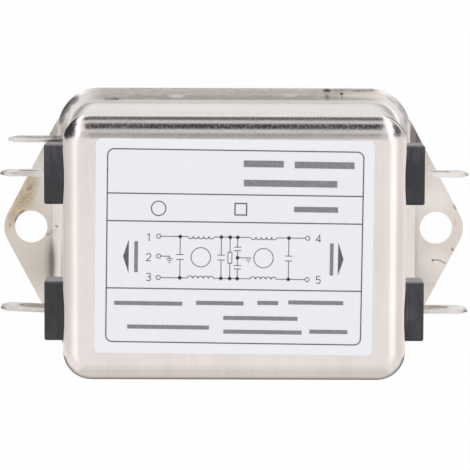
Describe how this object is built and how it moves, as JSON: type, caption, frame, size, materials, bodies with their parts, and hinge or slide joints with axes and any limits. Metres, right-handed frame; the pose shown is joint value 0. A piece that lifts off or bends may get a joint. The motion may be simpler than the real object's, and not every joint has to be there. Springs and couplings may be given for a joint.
{
  "type": "emi line filter",
  "caption": "Chassis-mount mains filter in a rounded drawn steel can, with a flat ear at each end, black terminal blocks with push-on blades, and a printed label on the front.",
  "frame": {"origin": "middle of the footprint, on the plane of the mounting face", "axes": "+X from the line end to the load end, +Y towards the live terminals, +Z from the mounting face to the label"},
  "size_m": [0.085, 0.0516, 0.0401],
  "materials": {
    "can_steel": "nickel-plated drawn steel, satin, with fine drawing lines",
    "plate_steel": "nickel-plated sheet steel, satin",
    "terminal_metal": "tin-plated brass, bright",
    "earth_metal": "tin-plated steel, bright",
    "insulator_plastic": "black moulded plastic, fine grain",
    "label_paper": "pale silver-grey label stock",
    "board_laminate": "glass-fibre laminate with green mask",
    "sheet_insulation": "pressed insulating paper",
    "core_ferrite": "ferrite with a green epoxy coat",
    "winding_copper": "enamelled copper wire",
    "divider_plastic": "natural plastic",
    "film_capacitor_plastic": "yellow moulded box",
    "disc_capacitor_coat": "blue dipped ceramic disc",
    "resistor_coat": "tan lacquered ceramic rod",
    "earth_wire_copper": "tinned copper wire",
    "resin": "black potting resin"
  },
  "bodies": {
    "root": {"can": "can_steel", "base_plate": "plate_steel", "label": "label_paper", "earth_tab": "earth_metal", "circuit_board": "board_laminate", "insulating_sheet": "sheet_insulation", "potting_resin": "resin", "bleed_resistor": "resistor_coat", "earth_wire": "earth_wire_copper", "choke_core_line": "core_ferrite", "choke_divider_line": "divider_plastic", "insulator_line_live": "insulator_plastic", "terminal_line_live": "terminal_metal", "choke_winding_line_live": "winding_copper", "insulator_line_neutral": "insulator_plastic", "terminal_line_neutral": "terminal_metal", "choke_winding_line_neutral": "winding_copper", "choke_core_load": "core_ferrite", "choke_divider_load": "divider_plastic", "insulator_load_live": "insulator_plastic", "terminal_load_live": "terminal_metal", "choke_winding_load_live": "winding_copper", "insulator_load_neutral": "insulator_plastic", "terminal_load_neutral": "terminal_metal", "choke_winding_load_neutral": "winding_copper", "film_capacitor_line": "film_capacitor_plastic", "film_capacitor_middle": "film_capacitor_plastic", "film_capacitor_load": "film_capacitor_plastic", "disc_capacitor_live": "disc_capacitor_coat", "disc_capacitor_neutral": "disc_capacitor_coat"}
  },
  "joints": []
}
